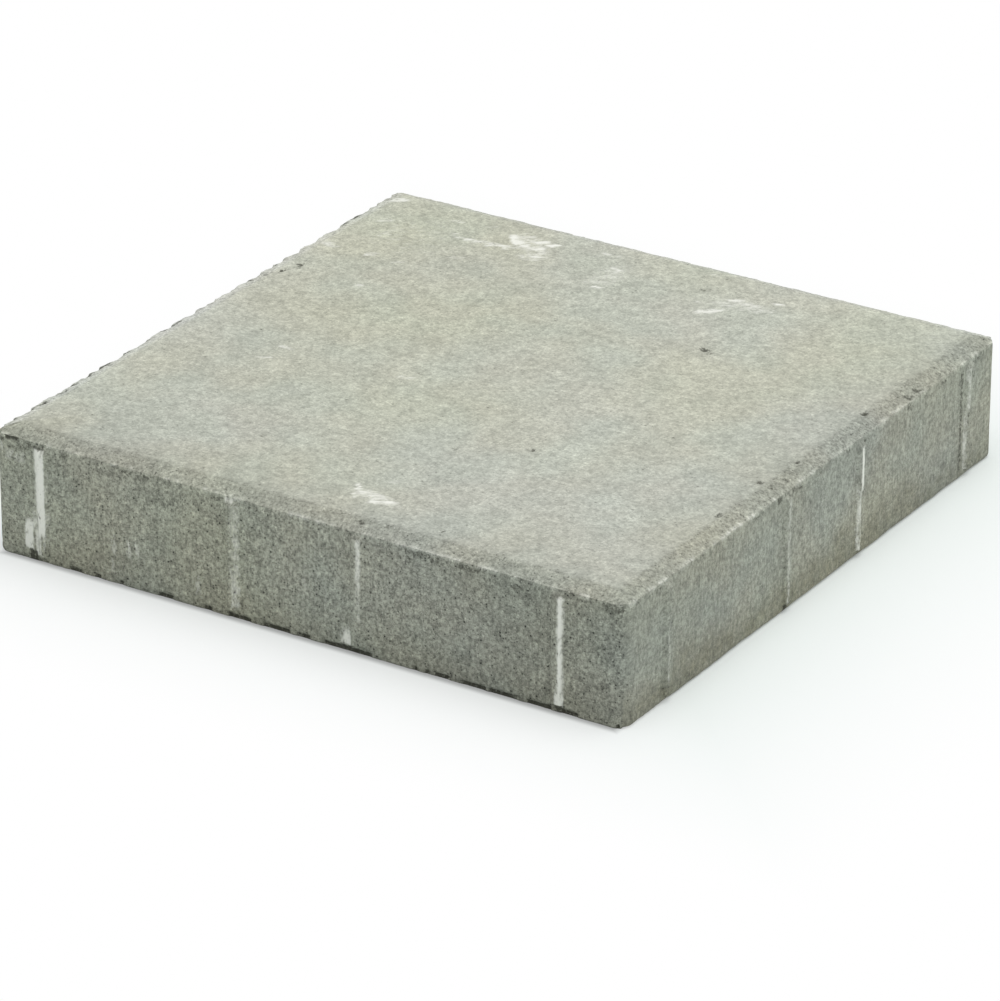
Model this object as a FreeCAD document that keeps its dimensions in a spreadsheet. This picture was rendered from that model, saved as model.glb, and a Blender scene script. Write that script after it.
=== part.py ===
import FreeCAD, Part
import os

import Sketcher

# Concrete paving slab: one dry-pressed casting with a bevelled top and spacer nibs on its sides.
#
# The slab lies on its bed face. The origin is the middle of the bed face and +Z points up through
# the tread face. Its four sides face -Y, +X, +Y and -X, and each carries a row of four nibs.
# The rows stand a little off the middle of their sides: those of the -Y and +X sides lean away
# from the corner that they share, and the other two are the same pair turned half round. The
# nibs of neighbouring slabs then land beside each other, not on each other.

# Every size, in millimetres: its name in the sheet, its value, and what it measures.
DIMENSIONS = (
    ("slab_side", 400, "length of each side, without the nibs"),
    ("slab_thickness", 75, "bed face to tread face"),
    ("corner_radius", 8, "rounding of the four upright corners"),
    ("bevel_width", 10, "how far the bevel reaches in over the tread face"),
    ("bevel_drop", 4, "how far the bevel runs down the side"),
    ("nib_inner_offset", 39.5, "middle of a row of nibs to the middle of an inner nib"),
    ("nib_end_distance", 37, "end of a centred row's side to the middle of an outer nib"),
    ("nib_row_shift", 4, "how far a row of nibs stands off the middle of its side"),
    ("nib_foot_width", 9, "width of a nib where it leaves the side"),
    ("nib_tip_width", 5, "width of the flat tip of a nib"),
    ("nib_reach", 2, "how far a nib stands out from the side"),
    ("nib_start_height", 5, "bed face to the underside of a nib"),
    ("nib_head_gap", 2, "top of a nib to the lower edge of the bevel"),
    ("nib_head_slope", 3, "height over which the head of a nib slopes back into the side"),
)
PART_NAME = "paving_slab"

# Lengths that are sums of named sizes, written {name: factor}.
HALF_SIDE = {"slab_side": 0.5}
SIDE_FACE = {"slab_side": -0.5}
NIB_TIP_FACE = {"slab_side": -0.5, "nib_reach": -1}
BEVEL_FOOT = {"slab_thickness": 1, "bevel_drop": -1}
NIB_TOP = {"slab_thickness": 1, "bevel_drop": -1, "nib_head_gap": -1}
INNER_NIB = {"nib_inner_offset": 1}
OUTER_NIB = {"slab_side": 0.5, "nib_end_distance": -1}

# Sketch addresses: the two ends of an edge, and the sketch's own origin.
START, END = 1, 2
SKETCH_ORIGIN = (-1, 1)


def make_sheet(doc):
    """Write every size into a spreadsheet, one row each: name, value, meaning."""
    sheet = doc.addObject("Spreadsheet::Sheet", "dimensions")
    for row, (name, value, meaning) in enumerate(DIMENSIONS, start=1):
        sheet.set(f"A{row}", name)
        sheet.set(f"B{row}", str(value))
        sheet.setAlias(f"B{row}", name)
        sheet.set(f"C{row}", meaning)
    doc.recompute()


def scaled(terms, factor):
    """The sum of sizes {name: factor}, multiplied by a plain number."""
    return {name: factor * amount for name, amount in terms.items()}


def added(first, second):
    """Two sums of sizes {name: factor} joined into one."""
    names = list(first) + [name for name in second if name not in first]
    return {name: first.get(name, 0) + second.get(name, 0) for name in names}


def number(terms):
    """What a sum of sizes comes to, in millimetres."""
    values = {name: value for name, value, _ in DIMENSIONS}
    return sum(amount * values[name] for name, amount in terms.items())


def formula(terms):
    """The same sum as an expression over the spreadsheet."""
    return " + ".join(f"({amount}) * dimensions.{name}" for name, amount in terms.items())


def sketch_on(body, name, plane_role):
    """Add a sketch to the body, lying on one of the body's own origin planes."""
    sketch = body.newObject("Sketcher::SketchObject", name)
    plane = next(item for item in body.Origin.OriginFeatures if item.Role == plane_role)
    sketch.AttachmentSupport = [(plane, "")]
    sketch.MapMode = "FlatFace"
    return sketch


def draw_loop(sketch, points):
    """Draw a closed loop of straight edges through points (x, y), each a sum of sizes."""
    first = sketch.GeometryCount
    spots = [FreeCAD.Vector(number(x), number(y), 0) for x, y in points]
    edges = [first + i for i in range(len(points))]
    for here, there in zip(spots, spots[1:] + spots[:1]):
        sketch.addGeometry(Part.LineSegment(here, there), False)
    for edge, following in zip(edges, edges[1:] + edges[:1]):
        sketch.addConstraint(Sketcher.Constraint("Coincident", edge, END, following, START))
    for edge, (x, y) in zip(edges, points):
        hold(sketch, "DistanceX", edge, x)
        hold(sketch, "DistanceY", edge, y)


def hold(sketch, direction, edge, terms):
    """Hold the start of an edge at a signed distance from the sketch's origin."""
    ends = (*SKETCH_ORIGIN, edge, START)
    if number(terms) < 0:
        ends = (edge, START, *SKETCH_ORIGIN)
        terms = scaled(terms, -1)
    index = sketch.addConstraint(Sketcher.Constraint(direction, *ends, number(terms)))
    sketch.setExpression(f"Constraints[{index}]", formula(terms))


def pad_up(body, name, sketch, height):
    """Raise a sketch lying on a level plane by a sum of sizes."""
    pad = body.newObject("PartDesign::Pad", name)
    pad.Profile = sketch
    pad.setExpression("Length", formula(height))
    body.Document.recompute()
    return pad


def pocket_along_side(body, name, sketch):
    """Cut an upright sketch away along the whole -Y side, the same way left and right."""
    volume_before = body.Shape.Volume
    pocket = body.newObject("PartDesign::Pocket", name)
    pocket.Profile = sketch
    pocket.Type = "ThroughAll"
    pocket.SideType = "Symmetric"
    body.Document.recompute()
    if not pocket.Shape.Volume < volume_before:
        raise RuntimeError(f"{name} cuts nothing away")
    return pocket


def turn_round(body, name, features, count):
    """Repeat features evenly round the upright axis, the given number of times in all."""
    pattern = body.newObject("PartDesign::PolarPattern", name)
    pattern.Originals = features
    axis = next(item for item in body.Origin.OriginFeatures if item.Role == "Z_Axis")
    pattern.Axis = (axis, [""])
    pattern.Angle = 360
    pattern.Occurrences = count
    body.Tip = pattern
    body.Document.recompute()


def add_blank(body):
    """The square block, with its four upright corners rounded."""
    outline = sketch_on(body, "blank_outline", "XY_Plane")
    left, right = SIDE_FACE, HALF_SIDE
    draw_loop(outline, ((left, left), (right, left), (right, right), (left, right)))
    block = pad_up(body, "blank", outline, {"slab_thickness": 1})

    corners = body.newObject("PartDesign::Fillet", "upright_corners")
    corners.Base = (block, upright_edges(block.Shape))
    corners.setExpression("Radius", formula({"corner_radius": 1}))
    body.Document.recompute()


def upright_edges(shape):
    """The names of the edges that stand parallel to the Z axis."""
    names = []
    for i, edge in enumerate(shape.Edges, start=1):
        foot, head = (vertex.Point for vertex in edge.Vertexes)
        if abs(foot.z - head.z) > 1e-6:
            names.append(f"Edge{i}")
    return names


def add_bevels(body):
    """The shallow slope round the tread face, cut side by side so that its corners are mitred."""
    profile = sketch_on(body, "bevel_profile", "YZ_Plane")
    # The waste runs past the side and past the tread face by one more width and drop each way.
    outside = added(SIDE_FACE, {"bevel_width": -1})
    inside = added(SIDE_FACE, {"bevel_width": 2})
    below = added(BEVEL_FOOT, {"bevel_drop": -1})
    above = added(BEVEL_FOOT, {"bevel_drop": 2})
    draw_loop(profile, ((outside, below), (inside, above), (outside, above)))
    cut = pocket_along_side(body, "bevel", profile)
    turn_round(body, "bevels", [cut], 4)


def add_nibs(body):
    """The rows of upright nibs that keep a joint open between this slab and the next."""
    sections = sketch_on(body, "nib_sections", "XY_Plane")
    sections.setExpression("AttachmentOffset.Base.z", formula({"nib_start_height": 1}))
    for distance in (OUTER_NIB, INNER_NIB):
        for direction in (-1, 1):
            middle = added(scaled(distance, direction), {"nib_row_shift": -1})
            corners = nib_corners(middle)
            draw_loop(sections, corners)
            draw_loop(sections, mirrored_in_diagonal(corners))
    nibs = pad_up(body, "nibs", sections, added(NIB_TOP, {"nib_start_height": -1}))
    turn_round(body, "nibs_on_all_sides", [nibs], 2)

    # The slope runs on past the tip by one more reach, so the cut leaves nothing standing there.
    profile = sketch_on(body, "nib_head_profile", "YZ_Plane")
    outside = added(SIDE_FACE, {"nib_reach": -2})
    below = added(NIB_TOP, {"nib_head_slope": -2})
    draw_loop(profile, ((SIDE_FACE, NIB_TOP), (outside, NIB_TOP), (outside, below)))
    cut = pocket_along_side(body, "nib_head", profile)
    turn_round(body, "nib_heads", [cut], 4)


def nib_corners(middle):
    """A nib's cross-section on the -Y side, wider at its foot than at its tip."""
    foot, tip = {"nib_foot_width": 0.5}, {"nib_tip_width": 0.5}
    return (
        (added(middle, scaled(foot, -1)), SIDE_FACE),
        (added(middle, scaled(tip, -1)), NIB_TIP_FACE),
        (added(middle, tip), NIB_TIP_FACE),
        (added(middle, foot), SIDE_FACE),
    )


def mirrored_in_diagonal(points):
    """Points of the -Y side as they lie on the +X side, across the corner that the two share."""
    return tuple((scaled(y, -1), scaled(x, -1)) for x, y in points)


def check(doc, body):
    """Stop if any step failed, or if the slab is not one sound solid."""
    for item in doc.Objects:
        faults = {"Invalid", "Error"} & set(item.State)
        if faults:
            raise RuntimeError(f"{item.Label} is {faults}")
    shape = body.Shape
    if shape.isNull() or not shape.isValid() or len(shape.Solids) != 1:
        raise RuntimeError(f"{body.Label} is not one sound solid")


def main():
    doc = FreeCAD.newDocument("concrete_paving_slab")
    make_sheet(doc)
    slab = doc.addObject("PartDesign::Body", PART_NAME)
    slab.Label = PART_NAME
    slab.Placement = FreeCAD.Placement()
    add_blank(slab)
    add_bevels(slab)
    add_nibs(slab)
    doc.recompute()
    check(doc, slab)

    os.makedirs("parts", exist_ok=True)
    slab.Shape.exportStep(f"parts/{PART_NAME}.step")
    box = slab.Shape.BoundBox
    print(f"{PART_NAME}: {box.XLength:.1f} x {box.YLength:.1f} x {box.ZLength:.1f} mm")
    print(f"{slab.Shape.Volume / 1000:.1f} cm3, {len(slab.Shape.Faces)} faces")


main()
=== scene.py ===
# %% [markdown]
# # A pressed concrete paving slab
#
# This notebook dresses one paving slab: a square, 400 mm on a side and 75 mm thick, with a
# shallow bevel round the face that is walked on and low upright nibs on its sides. The packed
# CAD model gives the true sizes. It is smooth, and a real slab is not: it is sand and stone
# pressed in a steel mould, so it has grain, pits, worn edges and a crumbling foot.
#
# The CAD frame is loaded first, and its box is kept, because nothing made here may reach past it.

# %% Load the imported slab
from math import pi, radians

import bpy
import numpy as np
from mathutils import Matrix, Vector


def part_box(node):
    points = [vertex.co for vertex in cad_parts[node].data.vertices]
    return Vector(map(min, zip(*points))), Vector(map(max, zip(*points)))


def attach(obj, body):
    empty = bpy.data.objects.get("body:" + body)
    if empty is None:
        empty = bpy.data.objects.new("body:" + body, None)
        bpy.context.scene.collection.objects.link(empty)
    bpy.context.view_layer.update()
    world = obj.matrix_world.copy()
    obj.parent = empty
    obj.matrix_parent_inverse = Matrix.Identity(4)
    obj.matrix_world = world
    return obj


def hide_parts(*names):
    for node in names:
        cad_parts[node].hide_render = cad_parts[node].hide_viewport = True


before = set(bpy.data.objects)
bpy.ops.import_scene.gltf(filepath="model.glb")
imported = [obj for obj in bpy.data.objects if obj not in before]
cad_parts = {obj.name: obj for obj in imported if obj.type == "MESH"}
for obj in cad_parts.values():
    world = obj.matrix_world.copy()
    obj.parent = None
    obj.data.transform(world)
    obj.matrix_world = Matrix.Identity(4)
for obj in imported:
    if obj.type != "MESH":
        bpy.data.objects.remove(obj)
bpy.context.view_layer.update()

# %% [markdown]
# ## Sizes
#
# A mesh could be drawn in metres from the start, but a maker of slabs thinks in millimetres, and
# whole numbers are easier to check. All the shapes below are worked out in millimetres and are
# turned into metres once, when the mesh is made. The thickness and the width over the nibs come
# from the CAD box. The sizes that a box can't show are those of the drawing.

# %% Sizes of the slab, in millimetres
MM = 0.001
low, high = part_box("paving_slab")
THICKNESS = (high.z - low.z) / MM
NIB_REACH = 2.0
HALF = (high.x - low.x) / MM / 2 - NIB_REACH
BEVEL_WIDTH = 10.0
BEVEL_DROP = 4.0
CORNER_RADIUS = 8.0
NIB_PLACES = np.array([-163.0, -39.5, 39.5, 163.0])
NIB_ROW_SHIFT = 4.0
NIB_FOOT, NIB_TIP = 4.5, 2.5
NIB_BASE, NIB_TOP, NIB_SLOPE = 5.0, 69.0, 3.0
FACE_HALF = HALF - BEVEL_WIDTH
ARRIS_HEIGHT = THICKNESS - BEVEL_DROP
print(f"side {2 * HALF:.0f} mm, thickness {THICKNESS:.0f} mm")

# %% [markdown]
# ## Randomness that repeats
#
# Grain and wear need random numbers, and the slab has to come out the same each time. Value
# noise does both: a table of random numbers is drawn once from a seeded generator, every corner
# of a lattice of cubes takes its number from the table, and a point between the corners gets a
# smooth blend of the eight around it. Everything is done on whole arrays of points at once.

# %% Value noise
TABLE_SIZE = 61
noise_table = np.random.default_rng(7).random((TABLE_SIZE,) * 3)


def value_noise(points, cell, seed):
    """Noise between -1 and 1 for points (..., 3). With q = point / cell, the whole part of q
    picks eight table entries, and the eased fraction f * f * (3 - 2 f) blends between them."""
    q = np.asarray(points) / cell + seed * 17.31
    whole = np.floor(q).astype(int)
    f = q - whole
    f = f * f * (3 - 2 * f)
    total = np.zeros(q.shape[:-1])
    for dx in (0, 1):
        for dy in (0, 1):
            for dz in (0, 1):
                corner = (whole + (dx, dy, dz)) % TABLE_SIZE
                weight = np.abs(1 - f - (dx, dy, dz)).prod(-1)
                total += weight * noise_table[corner[..., 0], corner[..., 1], corner[..., 2]]
    return 2 * total - 1


def layered_noise(points, cell, seed, layers=3):
    """The sum of several noises, each at half the cell and half the strength of the last."""
    return sum(value_noise(points, cell / 2**i, seed + i) / 2**i for i in range(layers))


def smooth_step(low_edge, high_edge, value):
    """0 below the low edge, 1 above the high edge, and t * t * (3 - 2 t) between them."""
    t = np.clip((value - low_edge) / (high_edge - low_edge), 0, 1)
    return t * t * (3 - 2 * t)


print("noise table:", noise_table.shape)

# %% [markdown]
# ## Lines across the slab
#
# The face could be an even grid, but detail is not spread evenly: the nibs need a line at each
# of their edges and the rounded corners need short steps, while the middle needs neither. So the
# lines along one half of a side are set stretch by stretch, and mirrored for the other half.
# The same lines cross the tread face and run down the four sides, which lets one closed mesh
# cover the whole casting with no seams.

# %% Grid lines along a side
STRETCHES = ((0, 30, 14), (30, 49, 19), (49, 153.5, 42), (153.5, 172.5, 19), (172.5, 190, 18))
half_lines = [np.linspace(a, b, n, endpoint=False) for a, b, n in STRETCHES]
half_lines = np.concatenate(half_lines + [[FACE_HALF]])
lines = np.concatenate([-half_lines[:0:-1], half_lines])
CELLS = len(lines) - 1
widths = np.diff(lines)
print(f"{CELLS} cells along a side, from {widths.min():.2f} to {widths.max():.2f} mm wide")

# %% [markdown]
# ## The outline
#
# The outline is a square with rounded corners. Each grid line that reaches the edge of the tread
# face carries on to a point of the outline. Along the straight it simply goes straight across.
# Near a corner the last lines fan out, so that the corner line ends in the middle of the arc.

# %% Points and directions round the outline
STRAIGHT_END = HALF - CORNER_RADIUS
FAN_START = 172.5


def outline_point(inner):
    """From a line's place along the face's edge to a point of the side facing -Y, and the way
    out from it. Past the fan's start the place is stretched to run on along the straight and
    then half way round the arc: point = centre of the arc + radius * (sin a, -cos a)."""
    size = np.abs(inner)
    run_out = STRAIGHT_END + CORNER_RADIUS * pi / 4 - FAN_START
    fanned = FAN_START + (size - FAN_START) * run_out / (FACE_HALF - FAN_START)
    along = np.where(size > FAN_START, fanned, size)
    angle = np.clip((along - STRAIGHT_END) / CORNER_RADIUS, 0, pi / 4)
    x = np.sign(inner) * (np.minimum(along, STRAIGHT_END) + CORNER_RADIUS * np.sin(angle))
    y = -STRAIGHT_END - CORNER_RADIUS * np.cos(angle)
    out = np.stack([np.sign(inner) * np.sin(angle), -np.cos(angle)], -1)
    return np.stack([x, y], -1), out


def turned(vectors, quarter_turns):
    """Vectors (n, 2) turned by 90 degrees, a number of times: (x, y) becomes (-y, x)."""
    for _ in range(quarter_turns):
        vectors = np.stack([-vectors[:, 1], vectors[:, 0]], -1)
    return vectors


side_point, side_out = outline_point(lines[:-1])
side_inner = np.stack([lines[:-1], np.full(CELLS, -FACE_HALF)], -1)
ring_outer = np.concatenate([turned(side_point, k) for k in range(4)])
ring_out = np.concatenate([turned(side_out, k) for k in range(4)])
ring_inner = np.concatenate([turned(side_inner, k) for k in range(4)])
ring_along = np.tile(side_point[:, 0], 4)
ring_shift = np.repeat([-NIB_ROW_SHIFT, NIB_ROW_SHIFT, -NIB_ROW_SHIFT, NIB_ROW_SHIFT], CELLS)
RING = 4 * CELLS
print(f"{RING} points round the slab")

# %% [markdown]
# ## The true shape of the casting
#
# Before anything is worn away, the pressed shape is set up exactly. Height above the tread face's
# edge needs only the distance to the nearest side, because the bevel falls evenly over its last
# ten millimetres. The press leaves the inner crease a little soft, so the fall starts gently: a
# "softplus" curve, width * log(1 + exp(distance / width)), bends smoothly from level to slope.

# %% Height of the tread face and reach of the nibs
CREASE_SOFTNESS = 0.9


def face_height(x, y):
    """Height of the top of the casting at (x, y), bevel included."""
    into_bevel = BEVEL_WIDTH - (HALF - np.maximum(np.abs(x), np.abs(y)))
    fall = CREASE_SOFTNESS * np.logaddexp(0, into_bevel / CREASE_SOFTNESS)
    return THICKNESS - fall * BEVEL_DROP / BEVEL_WIDTH


def nib_reach(along, shift, height):
    """How far the side stands out at a place along it: the nib's trapezoid section, from its full
    reach at the tip's width down to nothing at the foot's width, under a sloping head."""
    distance = np.abs(along[..., None] - shift[..., None] - NIB_PLACES).min(-1)
    section = np.clip((NIB_FOOT - distance) / (NIB_FOOT - NIB_TIP), 0, 1) * NIB_REACH
    head = np.clip((NIB_TOP - height) * NIB_REACH / NIB_SLOPE, 0, NIB_REACH)
    return np.where(height > NIB_BASE, np.minimum(section, head), 0)


print("height at the middle, crease and arris:", face_height(np.array([0, 190, 200.0]), 0).round(2))

# %% [markdown]
# ## Wear and accidents of casting
#
# Every change to the pressed shape takes material away, so each is a depth that is never
# negative and the slab stays inside its drawing. The depths are plain functions of place:
#
# - grain: where sand has pulled out, all over, strongest on the bevel;
# - pits: air holes and lost stones, each a round dip;
# - the arris, the outer edge of the bevel, which handling rounds and chips;
# - the foot, where the mix didn't fill the mould's corner and crumbles when it is stripped.

# %% Pits in the tread face
# Each pit: its place (x, y), radius and depth, in millimetres.
PITS = np.array([
    (74, 91, 2.8, 1.5), (78, 88, 2.2, 0.9), (71, 94, 1.6, 0.6), (-182, 71, 2.3, 1.3),
    (-181, 67, 1.8, 0.9), (-186, 58, 2.2, 1.2), (-192, 48, 2.0, 1.0), (-194, 41, 2.0, 1.0),
    (-196.5, -142, 2.8, 2.2), (-196, -159, 3.2, 1.9), (-197.5, -117, 2.2, 1.3),
    (-196.5, -129, 2.0, 1.3), (-194, -99, 1.8, 0.8), (27, -92, 2.0, 1.0), (63, -72, 2.1, 1.0),
    (58, -69, 1.6, 0.5), (-32, -62, 1.8, 0.8), (-69, -24, 2.0, 0.7), (-148, -17, 2.0, 0.7),
    (-68, -134, 2.1, 0.9), (0, -128, 1.9, 0.8), (76, -181, 1.9, 0.9), (31, 163, 1.8, 0.8),
    (196, 112, 2.0, 1.3), (197, 102, 2.6, 1.0), (190, 65, 2.2, 1.2), (188, -88, 2.0, 1.1),
    (186.3, -41, 2.0, 0.9), (190, -9, 1.9, 1.1), (193, -41.4, 1.8, 0.9), (193.7, -28.4, 1.8, 0.8),
    (192.7, 96.8, 1.8, 0.8), (191.7, 104.5, 1.8, 0.8), (142, 172, 1.8, 0.6), (167, 191, 1.8, 0.8),
    (-88, -63, 1.7, 0.5), (-94, -109, 1.7, 0.5), (49, -191, 2.0, 0.9), (34, -192, 2.2, 0.9),
    (83, -192, 1.7, 0.7), (104, -193, 1.7, 0.7), (-118, 185, 1.8, 0.6), (-62, 102, 1.6, 0.5),
])


def pit_depth(x, y):
    """Depth of the deepest pit that reaches (x, y). A pit is depth * exp(-(distance / radius)^4),
    flat at the bottom with a steep wall, and noise bends its rim."""
    wobble = 1 + 0.35 * value_noise(np.stack([x, y, 0 * x], -1), 2.6, 3)
    distance = np.hypot(x[..., None] - PITS[:, 0], y[..., None] - PITS[:, 1]) * wobble[..., None]
    return (PITS[:, 3] * np.exp(-((distance / PITS[:, 2]) ** 4))).max(-1)


def grain_depth(points, strength):
    """Loss of grains all over: a slow wave that the press leaves, and the hollows of noise."""
    wave = 0.12 * (1 + layered_noise(points, 46, 11, 2) / 1.5)
    hollows = np.clip(layered_noise(points, 3.6, 21, 2), 0, None)
    return wave + strength * hollows


print(len(PITS), "pits, the deepest", PITS[:, 3].max(), "mm")

# %% [markdown]
# The arris and the foot run round the slab, so their wear is worked out once for each point of
# the outline. Noise read at the outline's own points in space joins up with itself at the end of
# the round, which noise read along a length would not.

# %% Wear of the arris and the foot, round the outline
# Four numbers in a row are for the sides facing -Y, +X, +Y and -X.
SHARPNESS_LOST = [0.35, 0.35, 0.12, 0.08]
CHIP_SHARE = [1.0, 0.9, 1.0, 1.35]
CRUMBLING_DEPTH = [0, 0, 0.35, 1.2]
GAP_SHARE = [1.0, 0.12, 0.5, 0.5]
FOOT_RADIUS = [0.4, 2.8, 1.4, 1.4]
LEFT_CORNER_REACH, DEEPEST_CHIP = 45, 2.6


def round_the_sides(four_numbers):
    """Each side's number, repeated for all the points of that side."""
    return np.repeat(four_numbers, CELLS)


ring_place = np.concatenate([ring_outer, np.zeros((RING, 1))], -1)
from_left_corner = np.hypot(ring_outer[:, 0] + HALF, ring_outer[:, 1] + HALF)
left_corner = np.exp(-((from_left_corner / LEFT_CORNER_REACH) ** 2))
chips = np.clip(layered_noise(ring_place, 9, 31, 3) - 0.35, 0, 1)
small_loss = 0.3 * np.clip(layered_noise(ring_place, 3, 35, 2), -1, 1)
arris_loss = round_the_sides(SHARPNESS_LOST) + small_loss + 1.6 * chips * (1 + left_corner)
arris_loss += 0.9 * left_corner * np.clip(value_noise(ring_place, 6, 38) + 0.3, 0, 1)
arris_loss *= round_the_sides(CHIP_SHARE)
crumbling = smooth_step(0.0, 0.4, layered_noise(ring_place, 5, 49, 2))
arris_loss += round_the_sides(CRUMBLING_DEPTH) * crumbling
arris_loss = np.clip(arris_loss, 0.05, DEEPEST_CHIP)

# The foot has short gaps where the mix fell short, most of all on the side facing -Y, and its
# edge is rounded by a radius that differs from side to side.
gaps = smooth_step(-0.03, 0.13, layered_noise(ring_place, 7.5, 41, 2))
gaps *= round_the_sides(GAP_SHARE) * (1 - 0.8 * left_corner)
foot_lift = 0.05 + 0.1 * np.abs(value_noise(ring_place, 4, 45)) + 0.15 * gaps
foot_radius = round_the_sides(FOOT_RADIUS) * (1 + 0.25 * value_noise(ring_place, 14, 47))
print(f"arris loses up to {arris_loss.max():.1f} mm, gaps take {gaps.mean():.0%} of the foot")

# %% [markdown]
# ## One closed surface
#
# The casting could be built from separate sheets, but their edges would have to be stitched. It
# is simpler to think of rings: the rim of the tread face is the first, and each further ring is
# the same walk round the slab, a little further out and down over the bevel, then down the side,
# then in under the slab, until the last one closes on a middle point. The tread face is a grid.

# %% The tread face
grid_x, grid_y = np.meshgrid(lines, lines)
face_points = np.stack([grid_x, grid_y, face_height(grid_x, grid_y)], -1)
face_points[..., 2] -= grain_depth(face_points, 0.10) + pit_depth(grid_x, grid_y)
print(f"tread face: {CELLS} x {CELLS} cells")

# %% The bevel
BEVEL_ROWS = (0.16, 0.34, 0.54, 0.74, 0.88, 0.96)


def worn_edge(points, out, arris, depth):
    """Round off the arris: a point within a few millimetres of it moves in and down by
    depth * exp(-(distance / reach)^2), where a deeper chip reaches further."""
    distance = np.linalg.norm(points - arris, axis=-1)
    loss = depth * np.exp(-((distance / (0.9 + 1.1 * depth)) ** 2))
    inward = np.concatenate([-out, -np.ones((RING, 1))], -1) / np.sqrt(2)
    return points + loss[:, None] * inward


def drop_to_slope(points):
    """Points (n, 2) given the height of the top of the casting."""
    return np.concatenate([points, face_height(points[:, 0], points[:, 1])[:, None]], -1)


arris = drop_to_slope(ring_outer)
bevel_normal = np.concatenate([ring_out * BEVEL_DROP / BEVEL_WIDTH, np.ones((RING, 1))], -1)
rings = []
for share in BEVEL_ROWS:
    ring = drop_to_slope(ring_inner + share * (ring_outer - ring_inner))
    depth = grain_depth(ring, 0.16) + pit_depth(ring[:, 0], ring[:, 1])
    rings.append(worn_edge(ring - depth[:, None] * bevel_normal, ring_out, arris, arris_loss))

# %% The sides, with their nibs
SIDE_ROWS = np.concatenate([
    [71, 70.6, 70, 69.4, 68.7, 68, 67, 66, 64.5], np.linspace(62, 9, 17),
    [7, 5.7, 5.1, 4.9, 4.0, 3.1, 2.5, 1.9, 1.3, 0.7, 0]])
FOOT_ZONE, GAP_MIDDLE, GAP_HEIGHT, GAP_DEPTH = 9.0, 1.5, 1.1, 1.3
for height in SIDE_ROWS:
    level = arris[:, 2] * height / ARRIS_HEIGHT
    points = np.concatenate([ring_outer, level[:, None]], -1)
    reach = nib_reach(ring_along, ring_shift, level)
    depth = np.minimum(grain_depth(points, 0.16), 0.5)
    ring = points.copy()
    ring[:, :2] += (reach - depth)[:, None] * ring_out
    ring[:, 2] = np.maximum(level, foot_lift + level * (1 - foot_lift / FOOT_ZONE))
    into_round = np.clip(foot_radius - level, 0, None)
    recess = foot_radius - np.sqrt(foot_radius**2 - into_round**2)
    recess += GAP_DEPTH * gaps * np.exp(-(((level - GAP_MIDDLE) / GAP_HEIGHT) ** 2))
    ring[:, :2] -= recess[:, None] * ring_out
    rings.append(worn_edge(ring, ring_out, arris, arris_loss))

# %% The bed face
UNDER_ROWS = ((1.2, 0.75), (3.0, 0.35), (6.0, 0.0), (12.0, 0.0))
foot_line = rings[-1][:, :2]
for inset, lift_share in UNDER_ROWS:
    inner = foot_line * (1 - inset / HALF)
    rings.append(np.concatenate([inner, (foot_lift * lift_share)[:, None]], -1))
middle = np.zeros((1, 3))
points = np.concatenate([face_points.reshape(-1, 3), *rings, middle])
print(f"{len(rings)} rings, {len(points)} points")

# %% [markdown]
# ## Joining the rings into a mesh
#
# Each cell between two rings is a four-sided face: a point, the one below it, and their
# neighbours one step on. Numbering the points ring after ring turns all the faces into a few
# sums on arrays. The order of the corners is chosen so that every face looks outwards, and the
# volume that the faces enclose, which must be positive and near the casting's own, proves it.

# %% Faces
W = CELLS + 1
corner_index = (np.arange(CELLS)[:, None] * W + np.arange(CELLS)).ravel()
grid_faces = np.stack([corner_index, corner_index + 1, corner_index + W + 1, corner_index + W], -1)
step = np.arange(CELLS)
rim = np.concatenate([step, step * W + CELLS, CELLS * W + CELLS - step, (CELLS - step) * W])
ring_start = W * W + RING * np.arange(len(rings))[:, None]
ring_index = np.concatenate([rim[None, :], ring_start + np.arange(RING)])
upper, lower = ring_index[:-1], ring_index[1:]
band_faces = np.stack([upper, lower, np.roll(lower, -1, 1), np.roll(upper, -1, 1)], -1).reshape(-1, 4)
last = ring_index[-1]
closing_faces = np.stack([last, np.full(RING, len(points) - 1), np.roll(last, -1)], -1)


def enclosed_volume(corners, triangles):
    """The sum over all triangles of a . (b x c) / 6, which counts outward faces as positive."""
    a, b, c = (corners[triangles[:, i]] for i in range(3))
    return np.einsum("ij,ij->", a, np.cross(b, c)) / 6


quads = np.concatenate([grid_faces, band_faces])
triangles = np.concatenate([quads[:, [0, 1, 2]], quads[:, [0, 2, 3]], closing_faces])
print(f"{len(triangles)} triangles, {enclosed_volume(points, triangles) / 1000:.0f} cubic centimetres")

# %% [markdown]
# `from_pydata` takes the points in metres and the faces as lists. The piece stands in for the CAD
# slab, which is hidden, and rides on the body root.

# %% The slab's object
mesh = bpy.data.meshes.new("weathered_slab")
mesh.from_pydata((points * MM).tolist(), [], quads.tolist() + closing_faces.tolist())
mesh.shade_smooth()
slab = bpy.data.objects.new("weathered_slab", mesh)
bpy.context.scene.collection.objects.link(slab)
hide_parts("paving_slab")
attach(slab, "root")
print("problems mended by validate:", mesh.validate(verbose=False))
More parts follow.
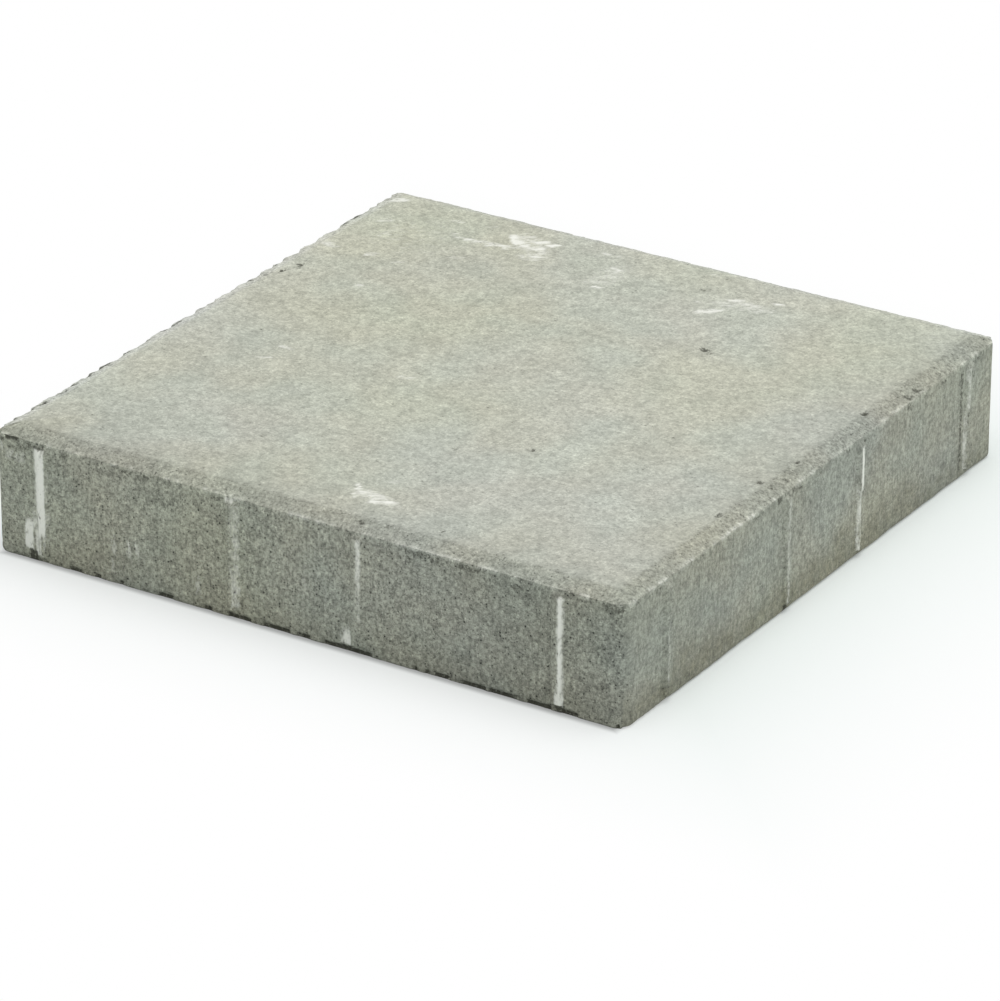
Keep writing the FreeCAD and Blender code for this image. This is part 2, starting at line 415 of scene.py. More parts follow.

# %% [markdown]
# ## Where the marks are
#
# Marks that belong to this slab, such as a scuff or a rubbed nib, need a place, so they can't
# come from noise alone. They could be painted on a picture, but a number stored at each point of
# the mesh does the same and needs no picture. Each kind of mark is one such attribute, from 0 to
# 1, and the material later breaks its soft edge into grains.
#
# - `sidedness`: 0 on the tread face, where cement paste has risen and is pale; 1 on the sides,
#   which are darker, partly for their open grain and partly as painted shade; the bevel is
#   between the two, set side by side as painted shade and light, and paler along the arris as a
#   painted highlight.
# - `bloom_and_highlight`: white lime, on scuffs of the face and on the rubbed tips of the nibs,
#   and a painted highlight along the arris and on the left edge.
# - `hollow_shade`: painted shade in pits, chips, cracks and the gaps of the foot, and under the
#   ends of the nibs.
# - `damp`: the foot of the slab, browned by the ground.
# - `coarse`: how strongly the sand shows, least on the tread face and most on the side facing -Y.
# - `darkening`: the share of the colour taken away, near two edges of the tread face and
#   towards one end of the sides below them.
# - `painted_light`: painted light, a paler colour along the other two edges, most on their bevels.

# %% Scuffs on the tread face
# Each scuff: middle (x, y), half length, half width, turn in degrees, strength.
SCUFFS = np.array([
    (-97, 166, 9.6, 3, -49, 0.95), (-92, 164, 5.9, 2.2, -47, 0.85), (-87, 162, 3.4, 1.8, 7, 0.95),
    (-82, 172, 5.9, 2.2, 33, 0.85), (-74, 171, 4.8, 2.2, 40, 0.98), (-79, 162, 5.1, 1.8, 33, 0.9),
    (-75, 152, 5.1, 2.2, 22, 0.75), (-74, 148, 2.3, 2, 33, 0.5), (-121, 153, 3.2, 1.6, 11, 0.75),
    (-115, 153, 4.6, 1.6, -7, 0.75), (-102, 154, 7.3, 1.6, 29, 0.8), (-96, 153, 2.8, 2, -9, 0.85),
    (-84, 165, 18, 8, -40, 0.52), (-110, 154, 23, 2.6, 8, 0.48), (-76, 150, 9, 5, 15, 0.42),
    (25, -166, 17, 6, -10, 0.46), (62, 154, 20, 7, 8, 0.4), (-25, 150, 10, 20, 0, 0.22),
    (-150, 140, 40, 30, 0, 0.12), (-140, 172, 4.7, 1.6, 8, 0.45), (-131, 155, 3.1, 1.6, 33, 0.4),
    (-119, 176, 4.8, 1.6, 30, 0.3), (-42, 177, 3.8, 1.6, -2, 0.55), (-34, 178, 1.9, 1.6, 33, 0.35),
    (-26, 161, 4.9, 1.6, -7, 0.75), (-31, 137, 2.3, 1.6, 13, 0.5), (-22, 133, 4.1, 1.6, -3, 0.85),
    (-19, 145, 3.5, 1.6, 12, 0.5), (-45, 171, 4.1, 1.6, 49, 0.3), (-112, 126, 5.1, 1.6, 30, 0.3),
    (-187, 181, 6.5, 3, 33, 0.75), (-177, 151, 5.7, 3, 33, 0.42), (-165, 133, 4.4, 1.6, 33, 0.45),
    (-156, 104, 4.3, 3, 33, 0.5), (-136, 103, 3.9, 1.6, 33, 0.42), (-185, 104, 7.6, 3, -10, 0.5),
    (-124, -31, 5.8, 1.6, 1, 0.6), (-126, -48, 4.8, 1.6, 33, 0.5), (-137, 63, 3.1, 2, 2, 0.4),
    (-45, -29, 6.3, 3, 21, 0.3), (-12, -2, 1.9, 1.6, 33, 0.35), (49, 138, 8.9, 3, 41, 0.75),
    (55, 159, 6.1, 2.5, 33, 0.7), (51, 153, 3.3, 1.6, 60, 0.5), (73, 159, 2.4, 1.6, 33, 0.4),
    (77, 167, 4.8, 1.6, 12, 0.65), (38, 146, 2.7, 1.6, 20, 0.5), (26, 184, 2.5, 1.6, 17, 0.4),
    (56, 29, 2.8, 1.6, 15, 0.35), (173, 174, 1.6, 1.6, 33, 0.4), (11, -161, 5.9, 2, -54, 0.8),
    (16, -165, 3.3, 2.5, 49, 0.6), (14, -169, 4.3, 1.6, 118, 0.6), (27, -171, 4.4, 2, 39, 0.8),
    (34, -167, 3.1, 1.6, 32, 0.95), (29, -163, 4.5, 2.5, 8, 0.45), (23, -145, 3.4, 2, 32, 0.3),
])


def scuff_strength(x, y):
    """The strongest scuff at (x, y): strength * (1 - smooth edge) of an ellipse, whose distance is
    hypot(u / half length, v / half width) in the ellipse's own turned directions u and v."""
    turn = np.radians(SCUFFS[:, 4])
    dx, dy = x[..., None] - SCUFFS[:, 0], y[..., None] - SCUFFS[:, 1]
    u = dx * np.cos(turn) + dy * np.sin(turn)
    v = dy * np.cos(turn) - dx * np.sin(turn)
    distance = np.hypot(u / SCUFFS[:, 2], v / SCUFFS[:, 3])
    return (SCUFFS[:, 5] * (1 - smooth_step(0.55, 1.35, distance))).max(-1)


print(len(SCUFFS), "scuffs")

# %% Marks on the sides
# Each mark: side (0 faces -Y, then 1 to 3 the same way round), place along it, half width,
# lowest and highest height, strength.
BLOOM_MARKS = np.array([
    (0, -168.8, 3.5, 30, 67, 1.1), (0, -167.8, 2.6, 18, 34, 1.05), (0, -177.3, 2.9, 7, 22.5, 0.95),
    (0, -173, 1.6, 18, 32, 0.5), (0, -170.5, 2.2, 4, 17, 0.75), (0, -165, 2.2, 8, 55, 0.3),
    (0, -42.2, 2.6, 5, 66, 0.2), (0, -40.2, 1.0, 8, 66, 0.5), (0, -41.6, 1.8, 8, 26, 0.45),
    (0, -45, 2.6, 68, 70, 0.55), (0, 37.2, 1.2, 40, 66.5, 0.76), (0, 37.2, 1.2, 20, 40, 0.36),
    (0, 28.6, 2.8, 4.5, 12, 1.0), (0, 161, 1.3, 5, 66.5, 1.05), (0, 160.5, 2.1, 4, 12, 1.0),
    (0, -122, 0.9, 19, 29, 0.66), (0, -110.7, 1.0, 19, 27, 0.72), (0, -106.7, 0.8, 22, 28, 0.5),
    (0, -121, 0.8, 7, 14, 0.45), (0, -66.7, 0.9, 6, 20, 0.45), (0, -186, 7, 59.2, 61.4, 0.72),
    (0, -195, 2.5, 61, 66, 0.45), (0, 2, 1.4, 32, 35, 0.6), (0, 60, 0.8, 36, 39, 0.6),
    (1, -160, 1.3, 12, 50, 0.24), (1, -36.4, 1.4, 5, 66, 0.34), (1, 43.4, 1.0, 42, 65.5, 0.95),
    (1, 40.8, 1.4, 5, 42, 0.56), (1, 164.6, 1.0, 42, 66.5, 0.6), (1, 163.2, 1.1, 5, 44, 0.42),
    (1, -120, 1.0, 30, 60, 0.22), (2, -167, 1.5, 34, 66, 0.5), (2, -166.5, 1.9, 6, 36, 0.36),
    (2, -43.5, 1.3, 5, 60, 0.34), (2, 35.5, 1.2, 38, 66, 0.55), (2, 36, 1.5, 8, 38, 0.36),
    (2, 159, 1.3, 8, 66, 0.5), (3, -159, 1.4, 5, 66, 0.4), (3, -35.5, 1.2, 30, 66, 0.5),
    (3, 43.5, 1.5, 5, 55, 0.34), (3, 167, 1.2, 20, 66, 0.55), (3, 166, 1.8, 4, 20, 0.45),
])
# Painted shade: under the ends of the nibs, along the flank of a nib, in chips below the arris and in
# small holes.
HOLLOW_MARKS = np.array([
    (0, -174.6, 2.8, 0, 5.8, 0.85), (0, -44, 3, 0, 3, 0.45), (0, 29, 4.0, 0, 3.2, 0.75),
    (0, 160, 2.6, 0, 4.0, 0.75), (0, -187, 4.5, 69.2, 71, 0.85), (0, -172, 6, 67.5, 69.5, 0.5),
    (0, -186, 4, 62.8, 64.5, 0.55), (0, -178, 5, 65, 67, 0.42), (0, -152, 3, 66.5, 68.5, 0.45),
    (0, 68, 1.2, 61, 65, 0.6), (0, 85, 5, 66.5, 69, 0.36), (0, 104, 6, 67, 69, 0.5),
    (0, 134, 3, 63, 66, 0.45), (0, 190, 5, 66, 69.5, 0.36), (0, -100, 6, 67, 69.5, 0.34),
    (0, 106, 0.9, 44, 46, 0.6), (1, -36.5, 2.2, 0.5, 5, 0.8), (1, 158.6, 1.5, 6, 66, 0.5),
    (1, -62, 1.3, 24, 27, 0.5), (1, -21, 1.3, 38, 41, 0.5), (1, 98, 3, 66, 70, 0.45),
    (1, -44, 2.5, 67, 70, 0.6), (1, 43, 2.2, 0, 3, 0.4), (2, 36, 3, 0, 4, 0.5), (3, -34, 3, 0, 4, 0.5),
])


def marks_on_sides(marks, side, along, height):
    """The strongest mark at each point of the sides: strength times a soft-edged box, which
    is 1 inside its half width and its heights and fades to 0 within a millimetre outside."""
    beyond_width = np.abs(along[:, None] - marks[:, 1]) - marks[:, 2]
    beyond_height = np.maximum(marks[:, 3] - height[:, None], height[:, None] - marks[:, 4])
    inside = (1 - smooth_step(-0.4, 0.7, beyond_width)) * (1 - smooth_step(-0.6, 1.6, beyond_height))
    return np.where(side[:, None] == marks[:, 0], marks[:, 5] * inside, 0).max(-1)


print(len(BLOOM_MARKS), "marks of bloom,", len(HOLLOW_MARKS), "hollows")

# %% Where each point of the mesh is
FACE_COUNT, BEVEL_COUNT = W * W, len(BEVEL_ROWS) * RING
WALL_COUNT = len(points) - FACE_COUNT - BEVEL_COUNT
x, y, z = points.T
sides_of_ring = np.tile(np.repeat([0, 1, 2, 3], CELLS), len(rings))
point_side = np.concatenate([np.full(FACE_COUNT, -1), sides_of_ring, [-1]])
point_along = np.concatenate([np.zeros(FACE_COUNT), np.tile(ring_along, len(rings)), [0]])
point_gaps = np.concatenate([np.zeros(FACE_COUNT), np.tile(gaps, len(rings)), [0]])
on_wall = np.concatenate([np.zeros(FACE_COUNT + BEVEL_COUNT), np.ones(WALL_COUNT)])
on_top = 1 - on_wall
into_bevel = BEVEL_WIDTH - (HALF - np.maximum(np.abs(x), np.abs(y)))
across_x = np.abs(x) > np.abs(y)
on_left, on_right = across_x & (x < 0), across_x & (x > 0)
on_back = ~across_x & (y > 0)
print(f"{FACE_COUNT} points on the face, {BEVEL_COUNT} on the bevel, {WALL_COUNT} below it")

# %% Painted shade and light on the bevels and the arris, paler edges and darkening
# How far each bevel takes the darker tone of the sides: most at the front and right, which is
# painted shade, and little or none at the back and left, which is painted light.
BEVEL_SHADE_BY_SIDE = {"right": 0.95, "left": 0.0, "back": 0.3, "front": 0.84}
facing = np.select([on_right, on_left, on_back], [BEVEL_SHADE_BY_SIDE[k] for k in ("right", "left", "back")],
                   BEVEL_SHADE_BY_SIDE["front"])
ragged = 0.9 * layered_noise(points, 3, 51, 2)
over_crease = smooth_step(-3.2, 2.2, into_bevel + ragged)
bevel_share = facing * over_crease
under_arris = np.clip(ARRIS_HEIGHT - z, 0, None)
near_arris = np.exp(-(((into_bevel - BEVEL_WIDTH + 0.8) / 1.2) ** 2 + under_arris**2 / 3.5))
patchy = smooth_step(-0.35, 0.45, layered_noise(points, 6, 55, 2))
# Painted highlight: near the arris the darker tone is taken away again in patches.
arris_highlight = np.where(on_right, 0.7, 0.45)
sidedness = np.maximum(bevel_share, on_wall) - arris_highlight * near_arris * patchy

# Painted light: the bevels at the left and back, and the tread face next to them, are made paler,
# less so further in.
on_bevel = smooth_step(-2, 2, into_bevel)
painted_light = np.exp(-np.clip(-into_bevel, 0, None) / 16) * on_top
painted_light *= on_left * (0.38 + 0.62 * on_bevel) + on_back * (0.2 + 0.35 * on_bevel)

# Darker near the edges of the tread face facing -Y and +X, and on the sides below them towards the
# corner where they meet.
from_edge = np.clip(np.minimum(y + FACE_HALF, FACE_HALF - x), 0, None)
face_darkening = 0.12 * np.exp(-from_edge / 26) * (into_bevel < 1) * on_top
front_darkening = 0.15 * smooth_step(20, 190, point_along) * (point_side == 0) * on_wall
right_darkening = 0.08 * smooth_step(20, 150, -point_along) * (point_side == 1) * on_wall
darkening = np.maximum(face_darkening, np.maximum(front_darkening, right_darkening))
print(f"bare mix over {bevel_share[FACE_COUNT:FACE_COUNT + BEVEL_COUNT].mean():.0%} of the bevel")

# %% Bloom and painted highlight
# The left edge is painted pale, which is painted light, and crumbly, with painted shade in the
# gaps between the crumbs.
left_edge = on_left * on_top * smooth_step(0, 5, into_bevel)
bloom_and_highlight = scuff_strength(x, y) * (1 - bevel_share) * on_top
side_bloom = marks_on_sides(BLOOM_MARKS, point_side, point_along, z) * on_wall
bloom_and_highlight = np.maximum(bloom_and_highlight, 0.9 * side_bloom)
# Painted highlight along the arris.
bloom_and_highlight = np.maximum(bloom_and_highlight, 0.32 * near_arris * patchy)
# Painted light on the left edge.
bloom_and_highlight = np.maximum(bloom_and_highlight, 0.36 * left_edge * patchy)
print(f"bloom on {(bloom_and_highlight > 0.3).mean():.1%} of the points")

# %% Painted shade in hollows, and damp
# Painted shade in the crumbs under the arris, the gaps of the foot, the marks on the sides, the pits,
# and the cracks between the crumbs of the left edge.
CRUMB_HEIGHT, CRUMB_SPREAD = 68.3, 1.7
crumb_band = np.exp(-(((z - CRUMB_HEIGHT) / CRUMB_SPREAD) ** 2))
crumbs = 0.5 * smooth_step(0.1, 0.6, layered_noise(points, 5, 57, 2)) * crumb_band
gap_marks = 0.85 * point_gaps * np.exp(-((np.clip(z - GAP_MIDDLE, 0, None) / GAP_HEIGHT) ** 2))
side_hollows = marks_on_sides(HOLLOW_MARKS, point_side, point_along, z)
hollow_shade = np.maximum(side_hollows, np.maximum(crumbs, gap_marks)) * on_wall
pits = smooth_step(0.25, 1.1, pit_depth(x, y)) * on_top
hollow_shade = np.maximum(hollow_shade, (0.75 + 0.12 * left_edge) * pits)
between_crumbs = smooth_step(5, 8, into_bevel) * smooth_step(0.05, 0.4, layered_noise(points, 6, 58, 2))
hollow_shade = np.maximum(hollow_shade, 0.82 * left_edge * between_crumbs)

# Damp and coarseness have one number for each side, and a last one for points on no side.
damp_of_side = np.array([0.35, 1.0, 0.6, 0.5, 0.2])[point_side]
damp = damp_of_side * on_wall * (1 - smooth_step(4, 30, z + 9 * layered_noise(points, 24, 61, 2)))
coarse_of_side = np.array([1.0, 0.66, 0.8, 0.8, 0.6])[point_side]
coarse = np.where(on_wall > 0, coarse_of_side, 0.42 + 0.3 * over_crease)
print(f"hollows on {(hollow_shade > 0.3).mean():.1%} of the points")

# %% Attributes of the mesh
marks = {
    "sidedness": sidedness, "bloom_and_highlight": bloom_and_highlight, "hollow_shade": hollow_shade, "damp": damp,
    "coarse": coarse, "darkening": darkening, "painted_light": painted_light}
for name, values in marks.items():
    attribute = mesh.attributes.new(name, "FLOAT", "POINT")
    attribute.data.foreach_set("value", np.clip(values, 0, 1).astype(np.float32))
    print(f"{name}: mean {np.clip(values, 0, 1).mean():.3f}")

# %% [markdown]
# ## The finish: pressed concrete
#
# A picture of concrete wrapped round the slab would stretch at the edges. A procedural material
# is worked out at each point in space instead, so the grain runs through the casting as it does
# in the real thing. It is built up as the concrete is: a cement tone that drifts from warm to
# cool, clouds of paler and darker mix, sand grains and pores, and then the marks from above.
#
# A node tree in code gets long, so small helpers add a node, a sum, a change of range, a blend
# of colours, a noise and a reading of a mark. A socket is given either a number or another
# node's output.

# %% Helpers for node trees
concrete = bpy.data.materials.new("pressed_concrete")
concrete.use_nodes = True
tree = concrete.node_tree
tree.nodes.clear()


def add_node(kind, inputs=(), **settings):
    """A node with its settings, and its input sockets set to values or linked to outputs."""
    node = tree.nodes.new(kind)
    for name, value in settings.items():
        setattr(node, name, value)
    for key, value in dict(inputs).items():
        if isinstance(value, bpy.types.NodeSocket):
            tree.links.new(value, node.inputs[key])
        else:
            node.inputs[key].default_value = value
    return node


def calculate(operation, first, second=0.0):
    """The output of a Math node."""
    return add_node("ShaderNodeMath", {0: first, 1: second}, operation=operation).outputs[0]


def rescale(value, from_low, from_high, to_low=0.0, to_high=1.0, smooth=False):
    """A value carried from one range to another and kept inside it."""
    kind = "SMOOTHSTEP" if smooth else "LINEAR"
    sockets = {"Value": value, "From Min": from_low, "From Max": from_high,
               "To Min": to_low, "To Max": to_high}
    return add_node("ShaderNodeMapRange", sockets, interpolation_type=kind).outputs["Result"]


def blend_colours(share, first, second, how="MIX"):
    """The output of a Mix node on two colours; a colour is three numbers or an output."""
    colours = [(*c, 1) if isinstance(c, tuple) else c for c in (first, second)]
    node = add_node("ShaderNodeMix", data_type="RGBA", blend_type=how)
    for index, value in ((0, share), (6, colours[0]), (7, colours[1])):
        if isinstance(value, bpy.types.NodeSocket):
            tree.links.new(value, node.inputs[index])
        else:
            node.inputs[index].default_value = value
    return node.outputs[2]


place = add_node("ShaderNodeTexCoord").outputs["Object"]


def noise(size_mm, detail=2.0, roughness=0.5, stretch=None, turn=0.0):
    """Smooth noise whose lumps are about size_mm across. It may be drawn out by three factors
    along the axes, after the axes are turned about Z by an angle."""
    where = place
    if stretch:
        scale = tuple(1 / factor for factor in stretch)
        where = add_node("ShaderNodeMapping", {"Vector": place, "Rotation": (0, 0, -turn)}).outputs[0]
        where = add_node("ShaderNodeMapping", {"Vector": where, "Scale": scale}).outputs[0]
    sockets = {"Vector": where, "Scale": 1 / (size_mm * MM), "Detail": detail, "Roughness": roughness}
    return add_node("ShaderNodeTexNoise", sockets).outputs["Fac"]


def attribute(name):
    """One of the mesh's own numbers."""
    return add_node("ShaderNodeAttribute", attribute_name=name).outputs["Fac"]


print("helpers ready")

# %% [markdown]
# ### Colour
#
# Colours are linear, as a shader wants them. The tread face is paler than the sides: partly a skin
# of cement paste against the mix itself on the sides, and partly painted shade on the sides. The
# drift between a yellowish and a bluish grey follows how the mix dried, so its lumps are as wide
# as a hand.

# %% Cement, clouds and sand
FACE_WARM, FACE_COOL = (0.500, 0.511, 0.405), (0.484, 0.501, 0.450)
# The side tones are darker than the face's, partly for the open mix and partly as painted shade.
SIDE_WARM, SIDE_COOL = (0.350, 0.355, 0.285), (0.326, 0.340, 0.298)
ROSY, GREENISH = (1.010, 0.996, 1.0), (0.990, 1.004, 0.998)
PAINTED_LIGHT_LIFT = (1.20, 1.20, 1.30)
BLOOM_AND_HIGHLIGHT_COLOUR = (0.90, 0.905, 0.84)
HOLLOW_SHADE_COLOUR = (0.055, 0.056, 0.042)
DAMP_COLOUR = (0.66, 0.64, 0.58)

drift = rescale(noise(90, 2.0), 0.36, 0.64)
across = add_node("ShaderNodeSeparateXYZ", {0: place})
diagonal = calculate("SUBTRACT", across.outputs["X"], across.outputs["Y"])
towards_front_right = rescale(diagonal, -0.35, 0.40)
coolness = calculate("MULTIPLY", calculate("ADD", drift, towards_front_right), 0.5)
sidedness = attribute("sidedness")
face_tone = blend_colours(coolness, FACE_WARM, FACE_COOL)
side_tone = blend_colours(drift, SIDE_WARM, SIDE_COOL)
grain_edge = calculate("MULTIPLY", calculate("SUBTRACT", noise(1.6, 2.0), 0.5), 0.5)
side_share = calculate("ADD", sidedness, grain_edge)
tone = blend_colours(rescale(side_share, 0.0, 1.0), face_tone, side_tone)
tint = blend_colours(rescale(noise(45, 1.0), 0.38, 0.62), ROSY, GREENISH)
tone = blend_colours(1.0, tone, tint, "MULTIPLY")
# Painted light along the left and back edges.
tone = blend_colours(attribute("painted_light"), tone, PAINTED_LIGHT_LIFT, "MULTIPLY")

coarse = attribute("coarse")
clouds = rescale(noise(26, 3.0, 0.6), 0.3, 0.7, 0.95, 1.05)
blotches = rescale(noise(6.0, 2.0, 0.65), 0.3, 0.7, 0.90, 1.10)
mottle = rescale(noise(3.2, 1.0), 0.3, 0.7, 0.87, 1.13)
fine = rescale(noise(1.7, 3.0, 0.85), 0.3, 0.7, -1.0, 1.0)
grain = calculate("ADD", 1.0, calculate("MULTIPLY", fine, calculate("MULTIPLY", coarse, 0.66)))
streaks = rescale(noise(1.8, 2.0, 0.6, stretch=(1, 1, 9)), 0.3, 0.7, -0.13, 0.13)
streaks = calculate("MULTIPLY", streaks, sidedness)
patches = calculate("MULTIPLY", clouds, calculate("MULTIPLY", blotches, mottle))
shade = calculate("MULTIPLY", patches, calculate("ADD", grain, streaks))
shade = calculate("MULTIPLY", shade, calculate("SUBTRACT", 1.0, attribute("darkening")))
print("clouds 26 mm, blotches 6 mm, mottle 3.2 mm and grain 1.7 mm across")

# %% [markdown]
# Sand and pores are separate specks, not waves, so they come from Voronoi cells. Each cell has a
# random colour; only the few cells whose random number is high get a speck, and the distance to
# the cell's middle gives the speck its round shape.

# %% Specks


def specks(cell_mm, share, size):
    """1 inside the specks: cells cell_mm apart, of which the given share have one, each
    about size of a cell in radius."""
    cells = add_node("ShaderNodeTexVoronoi", {"Vector": place, "Scale": 1 / (cell_mm * MM)})
    chance = add_node("ShaderNodeSeparateColor", {"Color": cells.outputs["Color"]}).outputs["Red"]
    chosen = rescale(chance, 1 - share - 0.01, 1 - share + 0.01)
    disc = rescale(cells.outputs["Distance"], size * 0.6, size, 1.0, 0.0)
    return calculate("MULTIPLY", chosen, disc)


pale_sand = specks(1.9, 0.16, 0.36)
dark_sand = specks(1.7, 0.20, 0.36)
pores = specks(7.0, 0.10, 0.13)
speck_light = calculate("MULTIPLY", pale_sand, calculate("MULTIPLY", coarse, 0.48))
speck_dark = calculate("MULTIPLY", dark_sand, calculate("MULTIPLY", coarse, 0.56))
shade = calculate("ADD", shade, calculate("SUBTRACT", speck_light, speck_dark))
grey_shade = add_node("ShaderNodeCombineColor", {0: shade, 1: shade, 2: shade}).outputs[0]
mixed = blend_colours(1.0, tone, grey_shade, "MULTIPLY")
print("three kinds of speck")

# %% [markdown]
# The marks lie over the mix. A stored mark has a soft edge a millimetre or two wide, and real
# ones are grainy, so noise is added to the mark before it is cut off: where the sum passes the
# cut, there is bloom, and where it doesn't, bare concrete shows between the grains. Scuffs on
# the face were dragged one way, so the gaps in them are drawn out along that direction.

# %% Marks over the mix
CUT, NOISE_GAIN = 0.45, 3.0


def broken(mark, noise_value, softness=0.3):
    """A soft mark cut into grains: 1 where mark + noise passes the cut, 0 where it falls short."""
    swing = calculate("MULTIPLY", calculate("SUBTRACT", noise_value, 0.5), NOISE_GAIN)
    grains = rescale(calculate("ADD", mark, swing), CUT - softness, CUT + softness)
    return calculate("MULTIPLY", grains, rescale(mark, 0.02, 0.2))


DRAG_ANGLE = radians(33)
bloom_and_highlight = attribute("bloom_and_highlight")
dragged = noise(1.8, 3.0, 0.7, stretch=(3.2, 1, 1), turn=DRAG_ANGLE)
rubbed = noise(2.8, 4.0, 0.8, stretch=(1, 1, 2))
gaps_in_bloom = blend_colours(sidedness, dragged, rubbed)
bloom_and_highlight_cover = broken(bloom_and_highlight, gaps_in_bloom, 0.34)
bloom_and_highlight_cover = calculate("MULTIPLY", bloom_and_highlight_cover, rescale(bloom_and_highlight, 0.0, 1.0, 0.4, 0.94))
damp_cover = calculate("MULTIPLY", attribute("damp"), rescale(noise(6, 3.0), 0.3, 0.7, 0.45, 1.0))
hollow_shade = attribute("hollow_shade")
hollow_shade_cover = broken(hollow_shade, noise(1.8, 3.0, 0.7))
hollow_shade_cover = calculate("MULTIPLY", hollow_shade_cover, rescale(hollow_shade, 0.0, 0.9, 0.55, 0.95))
hollow_shade_cover = calculate("MAXIMUM", hollow_shade_cover, calculate("MULTIPLY", pores, 0.45))

colour = blend_colours(damp_cover, mixed, blend_colours(1.0, mixed, DAMP_COLOUR, "MULTIPLY"))
# White bloom, which along the arris and on the left edge is a painted highlight.
colour = blend_colours(bloom_and_highlight_cover, colour, BLOOM_AND_HIGHLIGHT_COLOUR)
# The painted shade of pits, pores, cracks and gaps.
colour = blend_colours(hollow_shade_cover, colour, HOLLOW_SHADE_COLOUR)
print("marks laid over the mix")

# %% [markdown]
# ### Relief and the shader
#
# The mesh carries everything more than about two millimetres across. Finer relief is a bump: the
# same noise that shades the grains also raises them, so light and colour agree. Concrete is dull,
# so the roughness is high and the reflection low.

# %% Bump and shader
sand_relief = calculate("SUBTRACT", pale_sand, calculate("MULTIPLY", dark_sand, 0.8))
height = calculate("ADD", calculate("MULTIPLY", fine, 0.5), sand_relief)
height = calculate("SUBTRACT", height, calculate("MULTIPLY", hollow_shade_cover, 2.0))
bump_strength = rescale(sidedness, 0.0, 1.0, 0.35, 0.8)
bump = add_node("ShaderNodeBump", {"Strength": bump_strength, "Distance": 0.25 * MM, "Height": height})
shader = add_node("ShaderNodeBsdfPrincipled", {
    "Base Color": colour, "Roughness": 0.92, "Specular IOR Level": 0.25,
    "Normal": bump.outputs["Normal"]})
add_node("ShaderNodeOutputMaterial", {"Surface": shader.outputs["BSDF"]})
mesh.materials.append(concrete)
print(len(tree.nodes), "nodes in the finish")

# %% [markdown]
# ## Floor, light and camera
#
# The slab lies on a plain pale floor under soft studio light: a pale world all round and one wide
# lamp overhead, a little to the right and behind. To the camera and to reflections the floor is
# part steady white and part lit as a real floor is. The white part grows with distance from the
# slab, so the background is clean and the slab keeps its shadow. Right in front of the side
# facing -Y the floor is darkened over its last few millimetres, a painted contact shadow under a
# foot whose edge is not quite sharp.

# %% Floor
FLOOR_HALF = 6.0
SHADOW_SHIFT = 0.03
SHADOW_INNER, SHADOW_OUTER = -0.09, 0.15
CONTACT_SHADOW_WIDTH, CONTACT_SHADOW_DARKEST = 0.0052, 0.55
FLOOR_COLOUR = (0.822, 0.88, 0.857)
signs = ((-1, -1), (1, -1), (1, 1), (-1, 1))
floor_corners = [(FLOOR_HALF * a, FLOOR_HALF * b, 0) for a, b in signs]
floor_mesh = bpy.data.meshes.new("floor")
floor_mesh.from_pydata(floor_corners, [], [(0, 1, 2, 3)])
floor = bpy.data.objects.new("floor", floor_mesh)
bpy.context.scene.collection.objects.link(floor)

floor_finish = bpy.data.materials.new("pale_floor")
floor_finish.use_nodes = True
tree = floor_finish.node_tree
tree.nodes.clear()
path = add_node("ShaderNodeLightPath")
seen = calculate("MAXIMUM", path.outputs["Is Camera Ray"], path.outputs["Is Glossy Ray"])
seen = calculate("MAXIMUM", seen, path.outputs["Is Transmission Ray"])
floor_place = add_node("ShaderNodeTexCoord").outputs["Object"]
axes = add_node("ShaderNodeSeparateXYZ", {0: floor_place}).outputs

away_x = calculate("ABSOLUTE", calculate("SUBTRACT", axes["X"], SHADOW_SHIFT))
away_y = calculate("ABSOLUTE", calculate("SUBTRACT", axes["Y"], SHADOW_SHIFT))
away = calculate("SUBTRACT", calculate("MAXIMUM", away_x, away_y), HALF * MM)
steadiness = rescale(away, SHADOW_INNER, SHADOW_OUTER, smooth=True)

# Painted contact shadow: within a few millimetres of the side facing -Y the floor, lit and steady
# alike, is darkened, but not past the corners.
ahead = calculate("ABSOLUTE", calculate("ADD", axes["Y"], HALF * MM))
contact_shadow = rescale(ahead, 0.0, CONTACT_SHADOW_WIDTH, CONTACT_SHADOW_DARKEST, 1.0, smooth=True)
past_corner = rescale(calculate("ABSOLUTE", axes["X"]), (HALF - 14) * MM, (HALF - 2) * MM)
contact_shadow = calculate("MAXIMUM", contact_shadow, past_corner)

lit_colour = blend_colours(1.0, FLOOR_COLOUR, contact_shadow, "MULTIPLY")
lit = add_node("ShaderNodeBsdfDiffuse", {"Color": lit_colour})
steady = add_node("ShaderNodeEmission", {"Color": (1, 1, 1, 1), "Strength": contact_shadow})
steady_share = calculate("MULTIPLY", seen, steadiness)
both = add_node("ShaderNodeMixShader", {0: steady_share, 1: lit.outputs[0], 2: steady.outputs[0]})
add_node("ShaderNodeOutputMaterial", {"Surface": both.outputs[0]})
floor_mesh.materials.append(floor_finish)
print("floor", 2 * FLOOR_HALF, "m wide")

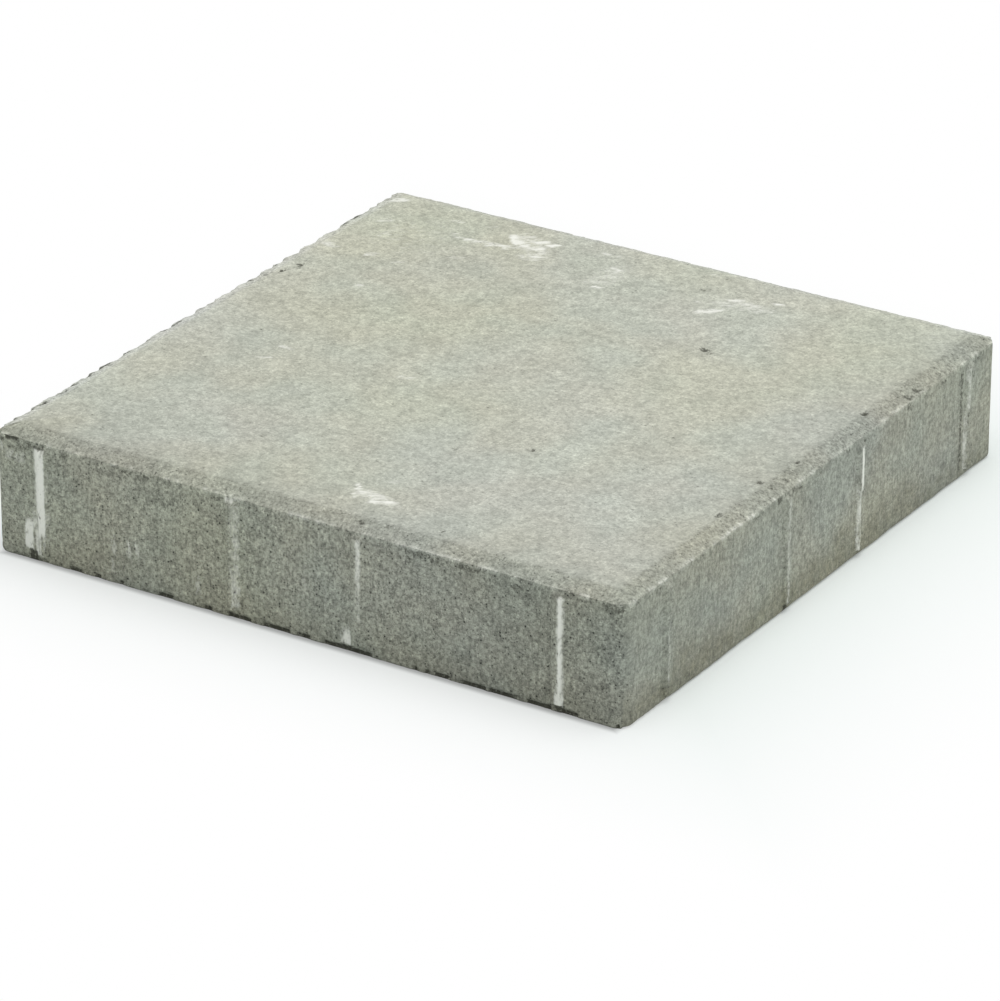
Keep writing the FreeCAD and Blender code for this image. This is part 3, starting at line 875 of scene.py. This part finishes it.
# %% World and lamp
WORLD_STRENGTH, LAMP_SIZE, LAMP_WATTS, LAMP_PLACE = 0.6, 2.6, 41, (0.85, 0.25, 2.4)
world = bpy.data.worlds.new("studio")
bpy.context.scene.world = world
world.use_nodes = True
background = world.node_tree.nodes["Background"].inputs
background["Color"].default_value = (1, 1, 1, 1)
background["Strength"].default_value = WORLD_STRENGTH

lamp_data = bpy.data.lights.new("overhead_softbox", "AREA")
lamp_data.shape = "SQUARE"
lamp_data.size = LAMP_SIZE
lamp_data.energy = LAMP_WATTS
lamp = bpy.data.objects.new("overhead_softbox", lamp_data)
lamp.location = LAMP_PLACE
lamp.rotation_euler = (Vector((0, 0, 0)) - lamp.location).to_track_quat("-Z", "Y").to_euler()
bpy.context.scene.collection.objects.link(lamp)
print("lamp at", tuple(round(v, 2) for v in lamp.location))

# %% [markdown]
# The camera stands well back with a long lens, as in a catalogue, so the far edges hardly shrink.
# Its place is given by how far round the slab it stands, how high it looks down from, and how far
# away it is. Its three axes are set directly: the one it looks back along, the one to its
# right, and the one upwards. The lens is given as a distance in the same unit as the width of
# the frame, and turned into millimetres on a 36 mm sensor.

# %% Camera
ROUND, DOWN, TILT = radians(32.24), radians(25.45), radians(0.11)
DISTANCE, TO_RIGHT = 3.294, -0.002
FRAME_WIDTH, LENS_DISTANCE = 1001, 5949.5
SENSOR_MM = 36.0
back = Vector((np.sin(ROUND) * np.cos(DOWN), -np.cos(ROUND) * np.cos(DOWN), np.sin(DOWN)))
level_right = Vector((np.cos(ROUND), np.sin(ROUND), 0))
level_up = back.cross(level_right)
right = np.cos(TILT) * level_right + np.sin(TILT) * level_up
up = back.cross(right)

camera_data = bpy.data.cameras.new("camera")
camera_data.sensor_width = SENSOR_MM
camera_data.lens = LENS_DISTANCE * SENSOR_MM / FRAME_WIDTH
camera_data.clip_end = 50
camera = bpy.data.objects.new("camera", camera_data)
axes = Matrix((right, up, back)).transposed().to_4x4()
camera.matrix_world = Matrix.Translation(back * DISTANCE + level_right * TO_RIGHT) @ axes
bpy.context.scene.collection.objects.link(camera)
bpy.context.scene.camera = camera
bpy.context.scene.view_settings.view_transform = "Standard"
print(f"lens {camera_data.lens:.0f} mm at {DISTANCE:.2f} m")
